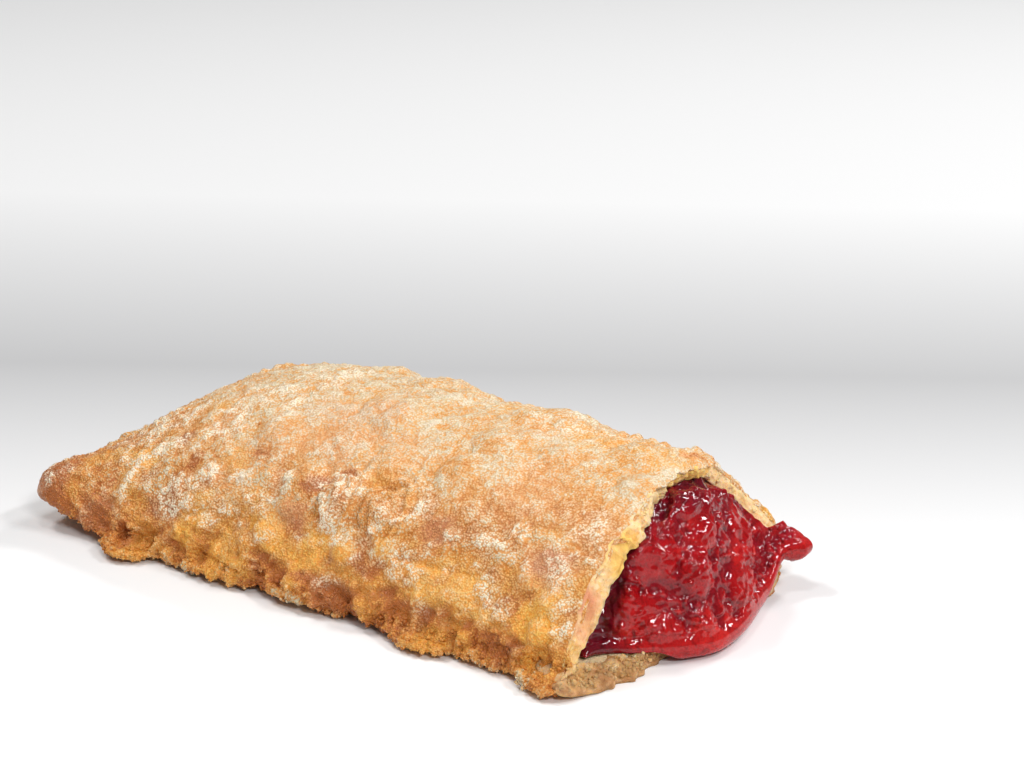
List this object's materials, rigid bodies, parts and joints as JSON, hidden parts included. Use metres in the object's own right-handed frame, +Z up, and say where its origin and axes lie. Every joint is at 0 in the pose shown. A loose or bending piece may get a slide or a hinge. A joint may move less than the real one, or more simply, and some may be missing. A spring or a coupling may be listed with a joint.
{
  "type": "fried cherry hand pie",
  "caption": "Fried oblong hand pie, sealed at its sides and one end, with the other end torn off and glossy cherry filling sliding out.",
  "frame": {"origin": "middle of the box, on the table that the pie lies on", "axes": "+X along the pie from the sealed end to the torn end, +Y across to the back, +Z up"},
  "size_m": [0.1354, 0.0746, 0.0306],
  "materials": {
    "crust": "fried pastry: matt, blistered golden skin, browner along the lower edges, pale torn crumb",
    "filling": "wet, glossy dark red cherry jelly with cherry pieces"
  },
  "bodies": {
    "root": {"crust": "crust", "cherry_filling": "filling"}
  },
  "joints": []
}
